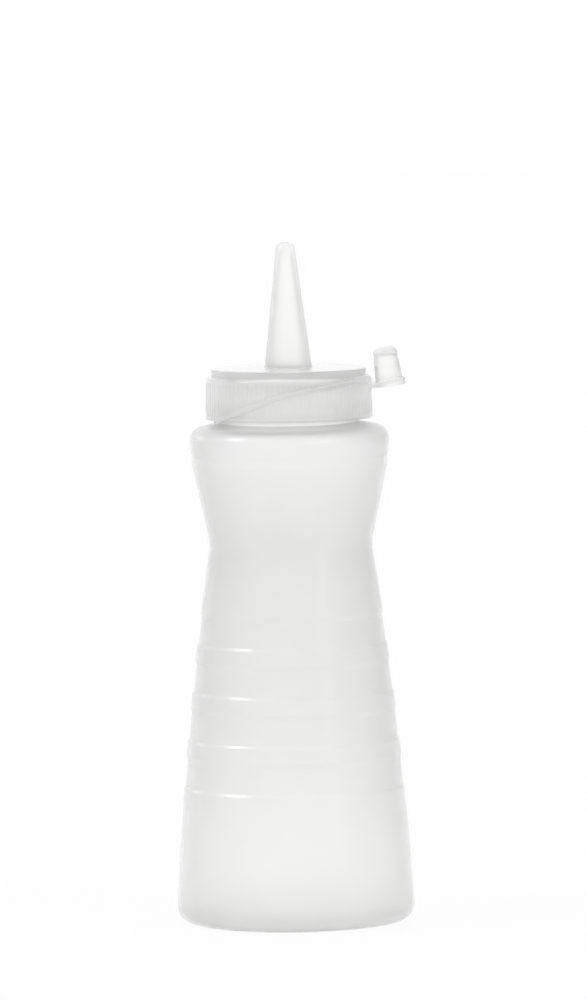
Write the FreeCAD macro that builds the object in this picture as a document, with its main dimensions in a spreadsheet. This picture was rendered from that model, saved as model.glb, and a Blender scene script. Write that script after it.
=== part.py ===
"""Squeeze bottle with a screw cap, a drip nozzle and a tip cover on an elastic loop strap.

Three moulded pieces, each a PartDesign body of its own:
  bottle      blown shell: dished foot, bowed side with grip bands, waist, shoulder and open neck
  nozzle_cap  fluted skirt, stepped deck, plug seal and hollow conical nozzle in one moulding
  tip_cover   small flanged cover and the loop strap that ties it to the neck, in one moulding

Millimetres, +Z up, origin on the bottle's axis at the level that the foot stands on.
Every level is stacked on the one below it, so a changed size carries what sits above along.
"""
import FreeCAD, Part
import math
import os

import Sketcher

SIZES = {
    # bottle: foot, side and waist
    "wall": 1.1,
    "base_dia": 72.0,
    "base_corner": 5.1,
    "foot_ring_dia": 53.0,
    "foot_dish": 3.0,
    "side_radius": 1170.0,
    "waist_height": 114.8,
    "waist_dia": 49.1,
    "waist_round": 9.0,
    # bottle: grip bands sunk into the side, counted down from the waist
    "grip_count": 4,
    "grip_drop": 20.5,
    "grip_pitch": 14.5,
    "grip_length": 10.25,
    "grip_depth": 0.4,
    "grip_ledge": 0.9,
    "grip_ease": 1.6,
    # bottle: funnel, shoulder and neck
    "funnel_height": 24.1,
    "shoulder_dia": 60.4,
    "shoulder_inset": 0.6,
    "shoulder_band": 2.3,
    "shoulder_bulge": 4.8,
    "shoulder_round": 4.4,
    "shoulder_slope": 11.0,
    "neck_dia": 43.8,
    "neck_height": 12.6,
    "neck_groove": 1.1,
    "neck_groove_height": 2.0,
    "neck_groove_lead": 0.6,
    # cap: skirt, deck and plug seal
    "rim_gap": 1.2,
    "thread_room": 1.3,
    "skirt_wall": 2.0,
    "skirt_draft": 0.15,
    "skirt_round": 1.5,
    "rim_flare": 0.15,
    "rim_height": 0.8,
    "lead_in": 0.5,
    "deck_wall": 1.6,
    "deck_step": 2.1,
    "deck_edge": 0.4,
    "plug_play": 0.2,
    "plug_wall": 1.2,
    "plug_depth": 2.2,
    # cap: finger flutes round the skirt
    "flute_count": 96,
    "flute_width": 0.9,
    "flute_depth": 0.3,
    "flute_margin": 0.4,
    # cap: nozzle
    "nozzle_length": 37.8,
    "nozzle_base_dia": 14.4,
    "nozzle_tip_dia": 5.8,
    "nozzle_nose": 1.9,
    "nozzle_nose_round": 2.2,
    "nozzle_flat_dia": 3.2,
    "nozzle_wall": 1.25,
    "orifice_dia": 2.0,
    "orifice_length": 2.5,
    # strap
    "strap_thick": 1.1,
    "strap_height": 1.5,
    "strap_play": 0.25,
    "strap_neck_play": 0.8,
    "strap_pinch_play": 0.1,
    "strap_climb": 10.7,
    "strap_corner": 3.0,
    # tip cover
    "cover_play": 0.4,
    "cover_lift": 9.35,
    "cover_tilt": 8.0,
    "cover_length": 11.8,
    "cover_base_dia": 8.5,
    "cover_top_dia": 7.3,
    "cover_top_round": 1.4,
    "cover_crown": 2.0,
    "cover_lip": 0.6,
    "cover_flange": 0.8,
    "cover_wall": 0.65,
    "cover_bore_round": 1.0,
}

# Radii and levels that several pieces share, as expressions on the sheet.
BASE_RADIUS = "(sizes.base_dia / 2)"
WAIST_RADIUS = "(sizes.waist_dia / 2)"
FUNNEL_TOP = "(sizes.waist_height + sizes.funnel_height)"
SHOULDER_RADIUS = "(sizes.shoulder_dia / 2)"
SHOULDER_LEDGE = f"({SHOULDER_RADIUS} - sizes.shoulder_inset)"
SHOULDER_FOOT = f"({FUNNEL_TOP} + sizes.shoulder_band)"
SHOULDER_LEVEL = f"({SHOULDER_FOOT} + sizes.shoulder_bulge)"
SHOULDER_TURN = f"({SHOULDER_RADIUS} - sizes.shoulder_round * (1 - sin(sizes.shoulder_slope * 1deg)))"
SHOULDER_CREST = f"({SHOULDER_LEVEL} + sizes.shoulder_round * cos(sizes.shoulder_slope * 1deg))"
NECK_RADIUS = "(sizes.neck_dia / 2)"
NECK_ROOT = f"({NECK_RADIUS} - sizes.neck_groove)"
NECK_BORE = f"({NECK_RADIUS} - sizes.wall)"


def shoulder_at(radius):
    """The level of the sloping top of the shoulder at a radius."""
    return f"({SHOULDER_CREST} + ({SHOULDER_TURN} - {radius}) * tan(sizes.shoulder_slope * 1deg))"


SHOULDER_TOP = shoulder_at(NECK_ROOT)
NECK_TOP = f"({SHOULDER_TOP} + sizes.neck_height)"
RIM_LEVEL = f"({SHOULDER_TOP} + sizes.rim_gap)"
SKIRT_TOP = f"({NECK_TOP} + sizes.deck_wall)"
SKIRT_BORE = f"({NECK_RADIUS} + sizes.thread_room)"
SKIRT_RADIUS = f"({SKIRT_BORE} + sizes.skirt_wall)"
SKIRT_TOP_RADIUS = f"({SKIRT_RADIUS} - sizes.skirt_draft)"
RIM_RADIUS = f"({SKIRT_RADIUS} + sizes.rim_flare)"
DECK_TOP = f"({SKIRT_TOP} + sizes.deck_step)"
DECK_RADIUS = f"({SKIRT_TOP_RADIUS} - sizes.skirt_round)"
TIP_LEVEL = f"({DECK_TOP} + sizes.nozzle_length)"
BELT_RADIUS = f"({RIM_RADIUS} + sizes.strap_play + sizes.strap_thick / 2)"
BELT_NECK_SIDE = f"({NECK_ROOT} + sizes.strap_neck_play + sizes.strap_thick / 2)"
FLANGE_RADIUS = "(sizes.cover_base_dia / 2 + sizes.cover_lip)"
COVER_REACH = f"({RIM_RADIUS} + sizes.cover_play + {FLANGE_RADIUS})"
COVER_LEVEL = f"({RIM_LEVEL} + sizes.cover_lift)"

doc = FreeCAD.newDocument("squeeze_bottle")


def fill_sheet():
    """Write every driving size as a plain number under its own alias."""
    sheet = doc.addObject("Spreadsheet::Sheet", "sizes")
    for row, (name, number) in enumerate(SIZES.items(), start=1):
        sheet.set(f"A{row}", name)
        sheet.set(f"B{row}", str(number))
        sheet.setAlias(f"B{row}", name)
    doc.recompute()
    return sheet


sizes = fill_sheet()


def number_of(expression):
    """What an expression on the sheet comes to now."""
    answer = sizes.evalExpression(str(expression))
    return float(getattr(answer, "Value", answer))


class Outline:
    """Draws one closed outline in a sketch, edge after edge, with every corner bound to the sheet.

    A corner is a pair of expressions, across and up. An arc is the shorter way round a circle of
    the given radius; turn is 1 where it runs anticlockwise and -1 where it runs clockwise.
    """

    START, END = 1, 2
    ACROSS_AXIS, UP_AXIS = -1, -2

    def __init__(self, sketch, across, up):
        self.sketch = sketch
        self.first_corner = (across, up)
        self.here = self.place(across, up)
        self.first_end = None
        self.last_end = None

    @staticmethod
    def place(across, up):
        return FreeCAD.Vector(number_of(across), number_of(up), 0)

    def bind(self, kind, *parts, to):
        index = self.sketch.addConstraint(Sketcher.Constraint(kind, *parts, number_of(to)))
        self.sketch.setExpression(f"Constraints[{index}]", str(to))

    def pin(self, end, across, up):
        """Hold an edge's end at its corner; a zero puts it on the sketch's own axis."""
        pairs = (("DistanceX", across, self.UP_AXIS), ("DistanceY", up, self.ACROSS_AXIS))
        for kind, size, axis in pairs:
            if abs(number_of(size)) < 1e-9:
                self.sketch.addConstraint(Sketcher.Constraint("PointOnObject", *end, axis))
            else:
                self.bind(kind, -1, 1, *end, to=size)

    def add(self, edge, near, far, across, up):
        """Join a new edge's near end to the last one and pin its far end, unless it closes."""
        if self.last_end is None:
            self.first_end = (edge, near)
            self.pin(self.first_end, *self.first_corner)
        else:
            self.sketch.addConstraint(Sketcher.Constraint("Coincident", *self.last_end, edge, near))
        self.last_end = (edge, far)
        if (across, up) == self.first_corner:
            self.sketch.addConstraint(Sketcher.Constraint("Coincident", edge, far, *self.first_end))
        else:
            self.pin(self.last_end, across, up)
        self.here = self.place(across, up)

    def line(self, across, up):
        end = self.place(across, up)
        edge = self.sketch.addGeometry(Part.LineSegment(self.here, end), False)
        self.add(edge, self.START, self.END, across, up)
        return self

    def arc(self, across, up, radius, turn=1):
        end = self.place(across, up)
        chord = end - self.here
        reach = math.sqrt(number_of(radius) ** 2 - chord.Length ** 2 / 4)
        inward = FreeCAD.Vector(-chord.y, chord.x, 0).normalize() * reach * turn
        centre = (self.here + end) / 2 + inward
        from_end, to_end = (self.here, end) if turn > 0 else (end, self.here)
        angles = [math.atan2(spot.y - centre.y, spot.x - centre.x) for spot in (from_end, to_end)]
        circle = Part.Circle(centre, FreeCAD.Vector(0, 0, 1), number_of(radius))
        edge = self.sketch.addGeometry(Part.ArcOfCircle(circle, *angles), False)
        near, far = (self.START, self.END) if turn > 0 else (self.END, self.START)
        self.add(edge, near, far, across, up)
        self.bind("Radius", edge, to=radius)
        return self

    def run(self, across, up, bend):
        """A line where bend is 0, or else an arc of that radius, clockwise where it is negative."""
        if bend == 0:
            return self.line(across, up)
        return self.arc(across, up, abs(bend), turn=math.copysign(1, bend))

    def close(self):
        return self.line(*self.first_corner)


def new_body(label):
    body = doc.addObject("PartDesign::Body", label)
    body.Label = label
    return body


def origin_feature(body, role):
    return next(item for item in body.Origin.OriginFeatures if item.Role == role)


def new_sketch(body, role, name):
    """An empty sketch on one of the body's own origin planes."""
    sketch = body.newObject("Sketcher::SketchObject", name)
    sketch.AttachmentSupport = [(origin_feature(body, role), "")]
    sketch.MapMode = "FlatFace"
    return sketch


def turned(body, kind, sketch, name):
    """A full Revolution or Groove of a sketch about the sketch's own upright axis."""
    feature = body.newObject(kind, name)
    feature.Profile = sketch
    feature.ReferenceAxis = (sketch, ["V_Axis"])
    feature.Angle = 360
    doc.recompute()
    return feature


# ---------------------------------------------------------------- bottle

def side_at(level):
    """The radius of the bowed side at a level, from the circle through its foot and the waist."""
    run = f"({WAIST_RADIUS} - {BASE_RADIUS})"
    rise = "(sizes.waist_height - sizes.base_corner)"
    chord = f"sqrt({run} ^ 2 + {rise} ^ 2)"
    reach = f"sqrt(sizes.side_radius ^ 2 - {chord} ^ 2 / 4)"
    centre_across = f"(({WAIST_RADIUS} + {BASE_RADIUS}) / 2 - {reach} * {rise} / {chord})"
    centre_up = f"((sizes.waist_height + sizes.base_corner) / 2 + {reach} * {run} / {chord})"
    return f"({centre_across} + sqrt(sizes.side_radius ^ 2 - ({level} - {centre_up}) ^ 2))"


def draw_side(outline, inset):
    """The bowed side from the foot to the topmost band, with every grip band sunk into it.

    A band has a crisp ledge at its foot, a floor parallel to the side and an eased top.
    """
    def wall(level, sunk="0"):
        outline.line(f"{side_at(level)} - {inset} - {sunk}", level)

    count = int(number_of("sizes.grip_count"))
    tops = [f"(sizes.waist_height - sizes.grip_drop - {n} * sizes.grip_pitch)" for n in range(count)]
    wall(f"(sizes.base_corner + {tops[-1]} - sizes.grip_length) / 2")
    for top in reversed(tops):
        foot = f"({top} - sizes.grip_length)"
        wall(foot)
        wall(f"{foot} + sizes.grip_ledge", "sizes.grip_depth")
        wall(f"{top} - sizes.grip_ease", "sizes.grip_depth")
        wall(top)


def draw_waist(outline, inset):
    """The hollow round of the waist, tangent to the side below it and to the funnel above it."""
    side_top = "(sizes.waist_height - sizes.grip_drop)"
    side_lean = f"atan(({side_at(side_top)} - {WAIST_RADIUS}) / sizes.grip_drop)"
    funnel_lean = f"atan(({SHOULDER_LEDGE} - {WAIST_RADIUS}) / sizes.funnel_height)"
    radius = f"(sizes.waist_round + {inset})"
    run = f"({radius} * tan(({side_lean} + {funnel_lean}) / 2))"
    corner = f"{WAIST_RADIUS} - {inset}"
    foot = (f"{corner} + {run} * sin({side_lean})", f"sizes.waist_height - {run} * cos({side_lean})")
    head = (f"{corner} + {run} * sin({funnel_lean})", f"sizes.waist_height + {run} * cos({funnel_lean})")
    outline.line(*foot)
    outline.arc(*head, radius, turn=-1)


def draw_bottle_form(sketch, inset):
    """Half of the bottle's form: foot, bowed side, funnel, shoulder and neck.

    An inset of 0 gives the outer skin, and an inset of one wall gives the cavity, which runs out
    through the mouth.
    """
    slope = "sizes.shoulder_slope * 1deg"
    ring = "sizes.foot_ring_dia / 2"
    dish_radius = "(sizes.foot_ring_dia ^ 2 / 4 + sizes.foot_dish ^ 2) / (2 * sizes.foot_dish)"
    bulge_radius = "(sizes.shoulder_inset ^ 2 + sizes.shoulder_bulge ^ 2) / (2 * sizes.shoulder_inset)"
    ledge = f"{SHOULDER_LEDGE} - {inset}"
    root = f"({NECK_ROOT} - {inset})"
    groove_top = f"({SHOULDER_TOP} + sizes.neck_groove_height)"
    outline = Outline(sketch, 0, f"sizes.foot_dish + {inset}")
    outline.arc(ring, inset, dish_radius, turn=-1)
    outline.line(f"{BASE_RADIUS} - sizes.base_corner", inset)
    outline.arc(f"{BASE_RADIUS} - {inset}", "sizes.base_corner", f"sizes.base_corner - {inset}")
    draw_side(outline, inset)
    draw_waist(outline, inset)
    outline.line(ledge, FUNNEL_TOP)
    outline.line(ledge, SHOULDER_FOOT)
    outline.arc(f"{SHOULDER_RADIUS} - {inset}", SHOULDER_LEVEL, bulge_radius)
    outline.arc(
        f"{SHOULDER_TURN} - {inset} * sin({slope})",
        f"{SHOULDER_CREST} - {inset} * cos({slope})",
        f"sizes.shoulder_round - {inset}",
    )
    outline.line(root, f"{shoulder_at(root)} - {inset} / cos({slope})")
    outline.line(root, groove_top)
    outline.line(f"{NECK_RADIUS} - {inset}", f"{groove_top} + sizes.neck_groove_lead")
    outline.line(f"{NECK_RADIUS} - {inset}", f"{NECK_TOP} + {inset}")
    outline.line(0, f"{NECK_TOP} + {inset}")
    outline.close()


def make_bottle():
    body = new_body("bottle")
    outside = new_sketch(body, "XZ_Plane", "bottle_outline")
    draw_bottle_form(outside, "0")
    turned(body, "PartDesign::Revolution", outside, "blank")
    inside = new_sketch(body, "XZ_Plane", "cavity_outline")
    draw_bottle_form(inside, "sizes.wall")
    turned(body, "PartDesign::Groove", inside, "cavity")
    return body


# ---------------------------------------------------------------- nozzle cap

def draw_cap_section(sketch):
    """The whole wall of the cap in section: skirt, deck, nozzle and plug seal."""
    rim_top = f"{RIM_LEVEL} + sizes.rim_height"
    nose_foot = f"{TIP_LEVEL} - sizes.nozzle_nose"
    orifice = "sizes.orifice_dia / 2"
    orifice_foot = f"{TIP_LEVEL} - sizes.orifice_length"
    deck_underside = f"{DECK_TOP} - sizes.deck_wall"
    plug_outside = f"({NECK_BORE} - sizes.plug_play)"
    plug_inside = f"({plug_outside} - sizes.plug_wall)"
    plug_foot = f"{NECK_TOP} - sizes.plug_depth"
    outline = Outline(sketch, RIM_RADIUS, RIM_LEVEL)
    outline.line(RIM_RADIUS, rim_top)
    outline.line(SKIRT_RADIUS, f"{rim_top} + sizes.rim_flare")
    outline.line(SKIRT_TOP_RADIUS, f"{SKIRT_TOP} - sizes.skirt_round")
    outline.arc(DECK_RADIUS, SKIRT_TOP, "sizes.skirt_round")
    outline.line(DECK_RADIUS, f"{DECK_TOP} - sizes.deck_edge")
    outline.arc(f"{DECK_RADIUS} - sizes.deck_edge", DECK_TOP, "sizes.deck_edge")
    outline.line("sizes.nozzle_base_dia / 2", DECK_TOP)
    outline.line("sizes.nozzle_tip_dia / 2", nose_foot)
    outline.arc("sizes.nozzle_flat_dia / 2", TIP_LEVEL, "sizes.nozzle_nose_round")
    outline.line(orifice, TIP_LEVEL)
    outline.line(orifice, orifice_foot)
    outline.line("sizes.nozzle_tip_dia / 2 - sizes.nozzle_wall", f"{orifice_foot} - sizes.lead_in")
    outline.line("sizes.nozzle_base_dia / 2 - sizes.nozzle_wall", deck_underside)
    outline.line(plug_inside, deck_underside)
    outline.line(plug_inside, plug_foot)
    outline.line(f"{plug_outside} - sizes.lead_in", plug_foot)
    outline.line(plug_outside, f"{plug_foot} + sizes.lead_in")
    outline.line(plug_outside, NECK_TOP)
    outline.line(SKIRT_BORE, NECK_TOP)
    outline.line(SKIRT_BORE, f"{RIM_LEVEL} + sizes.lead_in")
    outline.line(f"{SKIRT_BORE} + sizes.lead_in", RIM_LEVEL)
    outline.close()


def cut_flutes(body):
    """Fine V flutes all round the skirt, one cut and a polar pattern of it."""
    flute_foot = f"({RIM_LEVEL} + sizes.rim_height + sizes.rim_flare + sizes.flute_margin)"
    flute_top = f"({SKIRT_TOP} - sizes.skirt_round - sizes.flute_margin)"
    sketch = new_sketch(body, "XY_Plane", "flute_outline")
    sketch.setExpression("AttachmentOffset.Base.z", flute_foot)
    mouth = f"{SKIRT_RADIUS} + sizes.flute_depth"
    outline = Outline(sketch, f"{SKIRT_RADIUS} - sizes.flute_depth", 0)
    outline.line(mouth, "-sizes.flute_width")
    outline.line(mouth, "sizes.flute_width")
    outline.close()
    cut = body.newObject("PartDesign::Pocket", "flute")
    cut.Profile = sketch
    cut.Reversed = True
    cut.setExpression("Length", f"{flute_top} - {flute_foot}")
    doc.recompute()
    pattern = body.newObject("PartDesign::PolarPattern", "flutes")
    pattern.Originals = [cut]
    pattern.Axis = (origin_feature(body, "Z_Axis"), [""])
    pattern.Angle = 360
    pattern.setExpression("Occurrences", "sizes.flute_count")
    body.Tip = pattern
    doc.recompute()


def make_nozzle_cap():
    body = new_body("nozzle_cap")
    sketch = new_sketch(body, "XZ_Plane", "cap_section")
    draw_cap_section(sketch)
    turned(body, "PartDesign::Revolution", sketch, "cap_moulding")
    cut_flutes(body)
    return body


# ---------------------------------------------------------------- tip cover and loop strap

def flange_middle(across):
    """The level of the tilted flange's middle plane, at a place across."""
    tilt = "sizes.cover_tilt * 1deg"
    rise = f"({across} - {COVER_REACH}) * tan({tilt})"
    return f"({COVER_LEVEL} + sizes.cover_flange / 2 / cos({tilt}) + {rise})"


def strap_path():
    """The foot of the strap in side view, as corners with the bend of the edge that ends there.

    From the rim it climbs in an uneven curve round the skirt, drops a little on its free run and
    then follows the flange. On the skirt, across is a share of the belt and up one of the climb.
    """
    def on_skirt(across, up, bend):
        return f"({across} * {BELT_RADIUS})", f"({RIM_LEVEL} + {up} * sizes.strap_climb)", bend

    near = f"({COVER_REACH} - {FLANGE_RADIUS})"
    far = f"({COVER_REACH} + {FLANGE_RADIUS})"
    return [
        on_skirt(-0.765, 0.03, 0),
        on_skirt(-0.155, 0.61, -60),
        on_skirt(0.23, 0.81, 0),
        on_skirt(0.79, 1.0, -76),
        (near, flange_middle(near), -24),
        (far, flange_middle(far), 0),
    ]


def draw_strap_band(sketch):
    """The strap in side view: pinched between shoulder and rim, then a band of one height."""
    neck_inside = f"({BELT_NECK_SIDE} - sizes.strap_thick / 2)"
    neck_outside = f"({BELT_NECK_SIDE} + sizes.strap_thick / 2)"
    pinch_foot = f"({shoulder_at(neck_inside)} + sizes.strap_pinch_play)"
    pinch_top = f"({RIM_LEVEL} - sizes.strap_pinch_play)"
    foot = strap_path()
    corners = [(across, f"({up} + sizes.strap_height)") for across, up, _ in foot]
    bends = [-bend for _, _, bend in foot[1:]]
    head = [(*corner, bend) for corner, bend in zip(corners, bends)]
    outline = Outline(sketch, f"-{neck_outside}", pinch_foot)
    outline.line(f"-{neck_inside}", pinch_foot)
    for corner in foot:
        outline.run(*corner)
    outline.line(*corners[-1])
    for corner in reversed(head):
        outline.run(*corner)
    outline.line(f"-{neck_inside}", pinch_top)
    outline.line(f"-{neck_outside}", pinch_top)
    outline.close()


def draw_belt(sketch, aside):
    """The loop in plan, an offset aside from its middle line.

    Straight behind the neck, round the skirt, then on two tangents to and about the cover.
    """
    skirt_round = f"({BELT_RADIUS} + {aside})"
    cover_round = f"(sizes.cover_base_dia / 2 - sizes.strap_thick / 4 + {aside})"
    corner_round = f"(sizes.strap_corner + {aside})"
    neck_side = f"({BELT_NECK_SIDE} + {aside})"
    lean = f"acos(({skirt_round} - {cover_round}) / {COVER_REACH})"
    leave = (f"{skirt_round} * cos({lean})", f"{skirt_round} * sin({lean})")
    arrive = (f"{COVER_REACH} + {cover_round} * cos({lean})", f"{cover_round} * sin({lean})")
    inner = f"(({skirt_round} - {corner_round}) ^ 2 - ({neck_side} - {corner_round}) ^ 2)"
    turn_side = f"sqrt{inner}"
    scale = f"{skirt_round} / ({skirt_round} - {corner_round})"
    turn = (f"({neck_side} - {corner_round}) * {scale}", f"{turn_side} * {scale}")
    outline = Outline(sketch, f"-{neck_side}", f"-{turn_side}")
    outline.arc(f"-{turn[0]}", f"-{turn[1]}", corner_round)
    outline.arc(leave[0], f"-{leave[1]}", skirt_round)
    outline.line(arrive[0], f"-{arrive[1]}")
    outline.arc(arrive[0], arrive[1], cover_round)
    outline.line(leave[0], leave[1])
    outline.arc(f"-{turn[0]}", turn[1], skirt_round)
    outline.arc(f"-{neck_side}", turn_side, corner_round)
    outline.close()


def draw_frame(sketch):
    """A square well outside the loop."""
    reach = f"({COVER_REACH} + {BELT_RADIUS})"
    outline = Outline(sketch, f"-{reach}", f"-{reach}")
    outline.line(reach, f"-{reach}")
    outline.line(reach, reach)
    outline.line(f"-{reach}", reach)
    outline.close()


def make_strap(body):
    """The band in side view, as wide as the loop, trimmed in plan to the loop's own thickness."""
    side = new_sketch(body, "XZ_Plane", "strap_side")
    draw_strap_band(side)
    band = body.newObject("PartDesign::Pad", "strap_band")
    band.Profile = side
    band.Midplane = True
    band.setExpression("Length", f"2 * ({BELT_RADIUS} + sizes.strap_thick)")
    doc.recompute()
    plan = new_sketch(body, "XY_Plane", "strap_plan")
    draw_frame(plan)
    draw_belt(plan, "sizes.strap_thick / 2")
    draw_belt(plan, "-sizes.strap_thick / 2")
    trim = body.newObject("PartDesign::Pocket", "strap_trim")
    trim.Profile = plan
    trim.Type = "ThroughAll"
    trim.Midplane = True
    doc.recompute()


def new_cover_sketch(body, name):
    """A sketch that stands on the cover's own axis, which leans towards the nozzle."""
    sketch = new_sketch(body, "XZ_Plane", name)
    upright = FreeCAD.Rotation(FreeCAD.Vector(0, 0, 1), number_of("sizes.cover_tilt"))
    sketch.AttachmentOffset = FreeCAD.Placement(FreeCAD.Vector(0, 0, 0), upright)
    sketch.setExpression("AttachmentOffset.Base.x", COVER_REACH)
    sketch.setExpression("AttachmentOffset.Base.y", COVER_LEVEL)
    sketch.setExpression("AttachmentOffset.Rotation.Angle", "sizes.cover_tilt * 1deg")
    return sketch


def make_cover(body):
    """The cover: a flanged thimble with a rounded top, bored from below to one even wall."""
    top = "sizes.cover_length"
    outside = new_cover_sketch(body, "cover_outline")
    outline = Outline(outside, 0, 0)
    outline.line(FLANGE_RADIUS, 0)
    outline.line(FLANGE_RADIUS, "sizes.cover_flange")
    outline.line("sizes.cover_base_dia / 2", "sizes.cover_flange")
    outline.line("sizes.cover_top_dia / 2", f"{top} - sizes.cover_top_round")
    outline.arc("sizes.cover_top_dia / 2 - sizes.cover_top_round", top, "sizes.cover_top_round")
    outline.line(0, top)
    outline.close()
    turned(body, "PartDesign::Revolution", outside, "cover_moulding")
    inside = new_cover_sketch(body, "cover_bore_outline")
    outline = Outline(inside, 0, 0)
    bore_top = f"({top} - sizes.cover_crown)"
    bore_top_radius = "(sizes.cover_top_dia / 2 - sizes.cover_wall)"
    outline.line("sizes.cover_base_dia / 2 - sizes.cover_wall", 0)
    outline.line(bore_top_radius, f"{bore_top} - sizes.cover_bore_round")
    outline.arc(f"{bore_top_radius} - sizes.cover_bore_round", bore_top, "sizes.cover_bore_round")
    outline.line(0, bore_top)
    outline.close()
    turned(body, "PartDesign::Groove", inside, "cover_bore")


def make_tip_cover():
    body = new_body("tip_cover")
    make_strap(body)
    make_cover(body)
    return body


# ---------------------------------------------------------------- check and write

def check(body):
    """Stop on a feature that failed, a sketch that is loose or a shape that isn't one solid."""
    for item in doc.Objects:
        if "Invalid" in item.State or "Error" in item.State:
            raise RuntimeError(f"{item.Label} failed: {item.State}")
    shape = body.Shape
    if shape.isNull() or not shape.isValid() or len(shape.Solids) != 1:
        raise RuntimeError(f"{body.Label} isn't one valid solid")


def main():
    bodies = [make_bottle(), make_nozzle_cap(), make_tip_cover()]
    doc.recompute()
    for body in bodies:
        check(body)
    os.makedirs("parts", exist_ok=True)
    for body in bodies:
        body.Shape.exportStep(f"parts/{body.Label}.step")
        box = body.Shape.BoundBox
        print(f"{body.Label}: {body.Shape.Volume / 1000:.2f} cm3, "
              f"x {box.XMin:.2f}..{box.XMax:.2f}, z {box.ZMin:.2f}..{box.ZMax:.2f}")


main()
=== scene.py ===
# %% [markdown]
# # A squeeze bottle in milky polyethylene
# The object is three mouldings of natural, undyed polyethylene: a blown bottle with a waist and four grip
# bands, a fluted screw cap whose nozzle is moulded in one with it, and a small cover for the tip on a loop
# strap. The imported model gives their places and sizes. This lesson builds a finished mesh for each of them,
# with soft moulded edges, a real wall and an opening where the real one has it, and then lights them in a
# white studio.

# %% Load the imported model
import math

import bmesh
import bpy
from mathutils import Matrix, Vector


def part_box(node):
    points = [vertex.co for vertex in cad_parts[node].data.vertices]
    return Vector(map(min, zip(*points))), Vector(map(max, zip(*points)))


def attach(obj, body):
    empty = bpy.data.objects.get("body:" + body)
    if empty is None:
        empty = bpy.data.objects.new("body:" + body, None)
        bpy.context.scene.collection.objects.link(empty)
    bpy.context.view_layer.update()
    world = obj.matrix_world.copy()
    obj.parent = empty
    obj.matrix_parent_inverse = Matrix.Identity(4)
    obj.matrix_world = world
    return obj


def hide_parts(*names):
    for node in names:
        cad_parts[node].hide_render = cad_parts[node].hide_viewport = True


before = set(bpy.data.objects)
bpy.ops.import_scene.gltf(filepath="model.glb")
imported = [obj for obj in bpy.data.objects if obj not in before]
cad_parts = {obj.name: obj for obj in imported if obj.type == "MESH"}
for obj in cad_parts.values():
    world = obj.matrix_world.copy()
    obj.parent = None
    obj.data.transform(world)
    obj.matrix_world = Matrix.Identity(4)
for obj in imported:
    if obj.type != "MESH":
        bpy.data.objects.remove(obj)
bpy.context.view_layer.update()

# %% [markdown]
# ## Shared values
# Moulds are drawn in millimetres and Blender works in metres, so one factor joins the two. The levels that
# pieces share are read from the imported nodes: the bottle's box ends at its lip, and the cap's starts at its
# rim and ends at the nozzle's tip.

# %% Shared values
MM = 0.001
CM = 10 * MM
bottle_low, bottle_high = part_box("bottle")
cap_low, cap_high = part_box("nozzle_cap")
cover_low, cover_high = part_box("tip_cover")
lip_level = bottle_high.z / MM
rim_level = cap_low.z / MM
tip_level = cap_high.z / MM
foot_radius = bottle_high.x / MM
rim_radius = cap_high.x / MM
print(f"lip {lip_level:.2f}, rim {rim_level:.2f}, tip {tip_level:.2f}, foot radius {foot_radius:.2f} mm")
print(f"packed cover and strap from {cover_low.z / MM:.2f} to {cover_high.z / MM:.2f} mm")

# %% [markdown]
# ## Drawing a moulded outline
# A revolved piece is drawn as half of its section. No moulded edge is sharp, because a sharp one would tear
# or hold the part in its mould, so each corner carries its own small round. Smooth shading spreads a
# corner's turn over its whole neighbour, so every round also gets a holding point just before and just
# after it.

# %% Outline helpers
ARC_STEP = math.radians(11)
HOLD = 0.12
HOLD_SHARE = 0.2
CUT_SHARE = 0.4


def arc_between(start, end, radius, turn):
    """Points after start up to end, the shorter way round; turn is 1 anticlockwise and -1 clockwise."""
    start, end = Vector(start), Vector(end)
    chord = end - start
    reach = math.sqrt(max(radius ** 2 - chord.length_squared / 4, 0))
    centre = (start + end) / 2 + Vector((-chord.y, chord.x)).normalized() * reach * turn
    sweep = 2 * math.asin(min(1, chord.length / 2 / radius)) * turn
    count = max(2, math.ceil(abs(sweep) / ARC_STEP))
    arm = start - centre
    return [tuple(centre + Matrix.Rotation(sweep * n / count, 2) @ arm) for n in range(1, count + 1)]


def soften(corners):
    """Round each corner (across, up, round) of an outline and hold the straights on both sides of it."""
    points = []
    for index, (across, up, bend) in enumerate(corners):
        here = Vector((across, up))
        if bend == 0 or index in (0, len(corners) - 1):
            points.append(tuple(here))
            continue
        back = Vector(corners[index - 1][:2]) - here
        ahead = Vector(corners[index + 1][:2]) - here
        turn = math.pi - back.angle(ahead)
        cut = min(bend * math.tan(turn / 2), CUT_SHARE * back.length, CUT_SHARE * ahead.length)
        radius = cut / math.tan(turn / 2)
        start = here + back.normalized() * cut
        end = here + ahead.normalized() * cut
        side = 1 if back.cross(ahead) < 0 else -1
        points.append(tuple(start + back.normalized() * min(HOLD, HOLD_SHARE * back.length)))
        points.append(tuple(start))
        points += arc_between(start, end, radius, side)
        points.append(tuple(end + ahead.normalized() * min(HOLD, HOLD_SHARE * ahead.length)))
    return points


def divide(points, longest):
    """Cut each straight of an outline into runs no longer than given."""
    made = [points[0]]
    for start, end in zip(points, points[1:]):
        count = max(1, math.ceil(math.dist(start, end) / longest))
        for n in range(1, count + 1):
            made.append(tuple(Vector(start).lerp(Vector(end), n / count)))
    return made


# %% [markdown]
# ## Turning a section into a solid
# A round piece can be spun in one operation, or built from equal slices like an orange. Slices suit this
# object, because the cap repeats one flute 96 times: one slice is modelled, and a Geometry Nodes tree
# sets it round the axis, realizes the copies and welds their shared edges. The bottle uses the same
# tree with plain slices.

# %% One slice
ON_AXIS = 1e-6


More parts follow.
